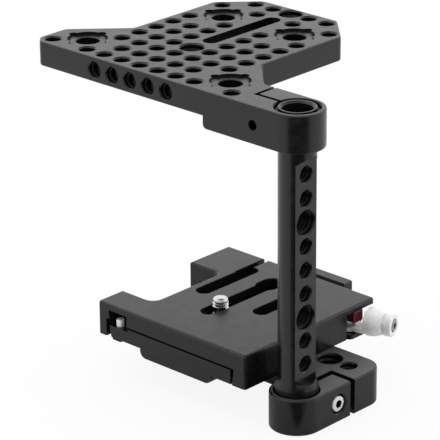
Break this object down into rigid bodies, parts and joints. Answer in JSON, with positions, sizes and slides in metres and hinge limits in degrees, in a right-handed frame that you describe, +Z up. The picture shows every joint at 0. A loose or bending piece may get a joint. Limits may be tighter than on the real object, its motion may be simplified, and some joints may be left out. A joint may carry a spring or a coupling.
{
  "type": "camera cage",
  "caption": "Half cage for a small camera: drilled top plate clamped to a tapped post, clamp bracket and quick-release base with sliding plate, lock lever and stop pin.",
  "frame": {"origin": "on the table under the middle of the whole cage", "axes": "+X along the top plate's front edge towards the post, +Y from the front edge to the back, +Z up"},
  "size_m": [0.1396, 0.101, 0.128],
  "materials": {
    "black_anodised": "bead-blasted, black anodised",
    "black_steel": "black oxide",
    "bright_steel": "turned and polished",
    "shoe_brass": "machined",
    "red_plastic": "moulded"
  },
  "bodies": {
    "bracket": {"side_arm_bracket": "black_anodised", "bracket_screw_1": "black_steel", "bracket_screw_2": "black_steel", "bracket_screw_3": "black_steel", "dovetail_base": "black_anodised", "rear_stop": "black_anodised", "rear_stop_screw_1": "black_steel", "rear_stop_screw_2": "black_steel", "lever_pivot_screw": "bright_steel", "stop_pin_cover": "black_anodised", "stop_pin_spring": "bright_steel", "safety_button_spring": "bright_steel"},
    "post": {"post": "black_anodised"},
    "top_plate": {"top_plate": "black_anodised"},
    "upper_clamp_screw": {"upper_clamp_screw": "black_steel"},
    "lower_clamp_screw": {"lower_clamp_screw": "bright_steel"},
    "camera_plate": {"camera_plate": "black_anodised"},
    "screw_carriage": {"camera_screw_washer": "bright_steel"},
    "camera_screw": {"camera_screw": "bright_steel"},
    "lever": {"lock_lever": "bright_steel", "lever_knob": "bright_steel", "lever_knob_screw": "black_steel"},
    "lock_shoe": {"lock_shoe": "shoe_brass"},
    "safety_button": {"safety_button": "red_plastic", "safety_button_clip": "bright_steel"},
    "stop_pin": {"stop_pin": "bright_steel"}
  },
  "joints": [
    {"name": "post_turn", "type": "hinge", "parent": "bracket", "child": "post", "pos_m": [0.0592, -0.03606, 0], "axis": [0, 0, 1], "continuous": true},
    {"name": "top_plate_swing", "type": "hinge", "parent": "post", "child": "top_plate", "pos_m": [0.0592, -0.03606, 0.128], "axis": [0, 0, 1], "continuous": true},
    {"name": "upper_clamp_turn", "type": "hinge", "parent": "top_plate", "child": "upper_clamp_screw", "pos_m": [0.0467, -0.02966, 0.1205], "axis": [0, 1, 0], "range_deg": [0, 180]},
    {"name": "lower_clamp_turn", "type": "hinge", "parent": "bracket", "child": "lower_clamp_screw", "pos_m": [0.0656, -0.02356, 0.0074], "axis": [1, 0, 0], "range_deg": [0, 180]},
    {"name": "plate_slide", "type": "slide", "parent": "bracket", "child": "camera_plate", "axis": [0, -1, 0], "range_m": [0, 0.048]},
    {"name": "camera_screw_slide", "type": "slide", "parent": "camera_plate", "child": "screw_carriage", "axis": [0, 1, 0], "range_m": [-0.006, 0.018]},
    {"name": "camera_screw_turn", "type": "hinge", "parent": "screw_carriage", "child": "camera_screw", "pos_m": [0.0067, -0.02196, 0], "axis": [0, 0, 1], "continuous": true},
    {"name": "lever_swing", "type": "hinge", "parent": "bracket", "child": "lever", "pos_m": [0.0397, 0.01689, 0], "axis": [0, 0, 1], "range_deg": [0, 75]},
    {"name": "lock_shoe_slide", "type": "slide", "parent": "bracket", "child": "lock_shoe", "axis": [-0.2588, 0.9659, 0], "range_m": [0, 0.002]},
    {"name": "safety_button_press", "type": "slide", "parent": "bracket", "child": "safety_button", "axis": [-1, 0, 0], "range_m": [0, 0.0019], "stiffness_N_per_m": 300, "deforming": ["safety_button_spring"]},
    {"name": "stop_pin_press", "type": "slide", "parent": "bracket", "child": "stop_pin", "axis": [0, 0, -1], "range_m": [0, 0.0012], "stiffness_N_per_m": 300, "deforming": ["stop_pin_spring"]}
  ],
  "couplings": [
    {"joint": "lock_shoe_slide", "follows": "lever_swing", "m_per_rad": 0.0014}
  ]
}
